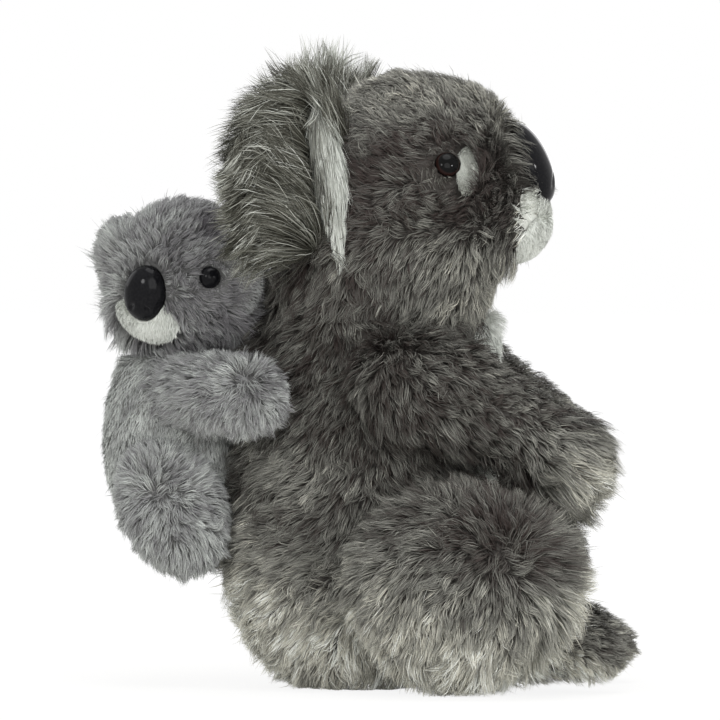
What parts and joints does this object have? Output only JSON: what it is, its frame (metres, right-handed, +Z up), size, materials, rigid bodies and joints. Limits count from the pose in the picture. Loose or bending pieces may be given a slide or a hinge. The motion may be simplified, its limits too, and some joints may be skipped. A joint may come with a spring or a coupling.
{
  "type": "plush koala with young",
  "caption": "Sitting grey plush koala with a smaller plush koala clinging to its back; stuffed limbs flex at their seams.",
  "frame": {"origin": "middle of the object's box, on the surface that it sits on", "axes": "+Z up, the mother koala faces -Y, her right side is -X; the young one is behind her on +Y and looks towards -X"},
  "size_m": [0.195, 0.2582, 0.297],
  "materials": {
    "grey_fur": "long mottled grey plush pile",
    "ear_fur": "long shaggy grey plush pile",
    "young_fur": "short bluish grey plush pile",
    "white_fur": "short white plush pile",
    "black_plastic": "polished",
    "brown_eye": "polished",
    "washer_plastic": "matte"
  },
  "bodies": {
    "torso": {"mother_body": "grey_fur", "mother_chest_bib": "white_fur", "young_body": "young_fur", "young_arm_right": "young_fur", "young_arm_left": "young_fur", "young_leg_right": "young_fur", "young_leg_left": "young_fur"},
    "head": {"mother_head": "grey_fur", "mother_chin": "white_fur", "mother_nose": "black_plastic", "mother_nose_lock_washer": "washer_plastic", "mother_eye_right": "brown_eye", "mother_eye_left": "brown_eye", "mother_eye_right_lock_washer": "washer_plastic", "mother_eye_left_lock_washer": "washer_plastic", "mother_eye_patch_right": "white_fur", "mother_eye_patch_left": "white_fur"},
    "ear_right": {"mother_ear_right": "ear_fur", "mother_ear_tuft_right": "white_fur"},
    "ear_left": {"mother_ear_left": "ear_fur", "mother_ear_tuft_left": "white_fur"},
    "arm_right": {"mother_arm_right": "grey_fur"},
    "arm_left": {"mother_arm_left": "grey_fur"},
    "leg_right": {"mother_haunch_right": "grey_fur", "mother_foot_right": "grey_fur"},
    "leg_left": {"mother_haunch_left": "grey_fur", "mother_foot_left": "grey_fur"},
    "young_head": {"young_head": "young_fur", "young_muzzle": "white_fur", "young_nose": "black_plastic", "young_nose_lock_washer": "washer_plastic", "young_eye_right": "black_plastic", "young_eye_left": "black_plastic", "young_eye_right_lock_washer": "washer_plastic", "young_eye_left_lock_washer": "washer_plastic", "young_ear_right": "young_fur", "young_ear_left": "young_fur"}
  },
  "joints": [
    {"name": "head_turn", "type": "hinge", "parent": "torso", "child": "head", "pos_m": [0, -0.022, 0.177], "axis": [0, 0, 1], "range_deg": [-12, 12], "stiffness_Nm_per_rad": 0.1},
    {"name": "ear_right_fold", "type": "hinge", "parent": "head", "child": "ear_right", "pos_m": [-0.04739, 0.01, 0.246], "axis": [0, 0, 1], "range_deg": [-15, 15], "stiffness_Nm_per_rad": 0.02},
    {"name": "ear_left_fold", "type": "hinge", "parent": "head", "child": "ear_left", "pos_m": [0.04746, 0.01, 0.246], "axis": [0, 0, 1], "range_deg": [-15, 15], "stiffness_Nm_per_rad": 0.02},
    {"name": "arm_right_raise", "type": "hinge", "parent": "torso", "child": "arm_right", "pos_m": [-0.05, -0.026, 0.148], "axis": [-1, 0, 0], "range_deg": [0, 30], "stiffness_Nm_per_rad": 0.05},
    {"name": "arm_left_raise", "type": "hinge", "parent": "torso", "child": "arm_left", "pos_m": [0.05, -0.026, 0.148], "axis": [-1, 0, 0], "range_deg": [0, 30], "stiffness_Nm_per_rad": 0.05},
    {"name": "leg_right_raise", "type": "hinge", "parent": "torso", "child": "leg_right", "pos_m": [-0.062, -0.05, 0.054], "axis": [-1, 0, 0], "range_deg": [0, 15], "stiffness_Nm_per_rad": 0.08},
    {"name": "leg_left_raise", "type": "hinge", "parent": "torso", "child": "leg_left", "pos_m": [0.062, -0.05, 0.054], "axis": [-1, 0, 0], "range_deg": [0, 15], "stiffness_Nm_per_rad": 0.08},
    {"name": "young_head_turn", "type": "hinge", "parent": "torso", "child": "young_head", "pos_m": [0, 0.087, 0.158], "axis": [0, 0, 1], "range_deg": [-15, 10], "stiffness_Nm_per_rad": 0.03}
  ]
}
